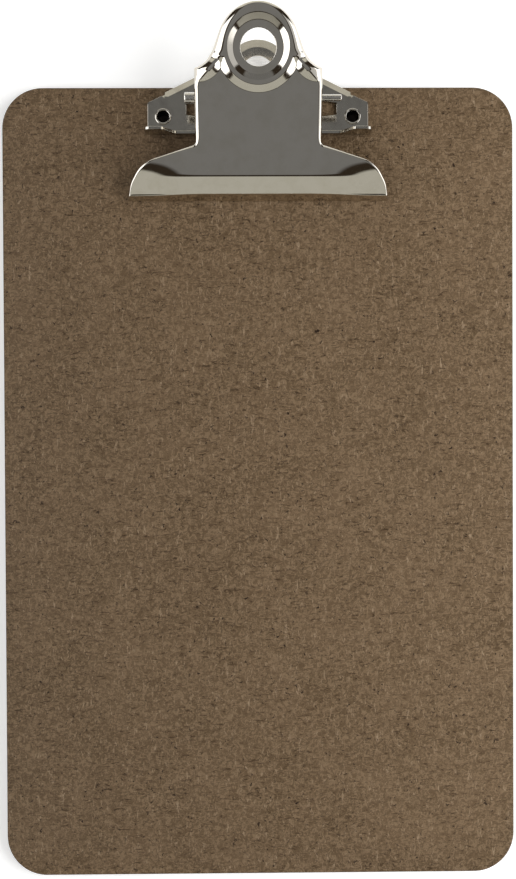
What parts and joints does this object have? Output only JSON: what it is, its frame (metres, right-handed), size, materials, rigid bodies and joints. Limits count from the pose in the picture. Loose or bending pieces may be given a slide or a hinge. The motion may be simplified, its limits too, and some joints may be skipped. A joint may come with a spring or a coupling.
{
  "type": "clipboard",
  "caption": "Memo-size hardboard clipboard with a sprung, riveted steel lever clip that opens to grip paper and hangs from its thumb ring.",
  "frame": {"origin": "centre of the board's flat back face", "axes": "+X to the right across the board, +Y along the board towards the clip, +Z out of the writing face"},
  "size_m": [0.152, 0.2516, 0.027],
  "materials": {
    "hardboard": "smooth pressed-fibre face with short dark and light specks, sawn edge",
    "plated_sheet": "bright nickel plate with a slightly warm tone and faint handling marks",
    "pin_steel": "nickel-plated steel, drawn",
    "spring_steel": "drawn spring wire, lightly oiled"
  },
  "bodies": {
    "base": {"board": "hardboard", "base_plate": "plated_sheet", "pivot_pin": "pin_steel", "spring_left": "spring_steel", "spring_right": "spring_steel", "rivet_left": "plated_sheet", "rivet_right": "plated_sheet"},
    "lever": {"lever": "plated_sheet"}
  },
  "joints": [
    {"name": "lever_hinge", "type": "hinge", "parent": "base", "child": "lever", "pos_m": [0, 0.1109, 0.0137], "axis": [-1, 0, 0], "range_deg": [0, 40], "stiffness_Nm_per_rad": 0.8, "springref_deg": -28.65, "deforming": ["spring_left", "spring_right"]}
  ]
}
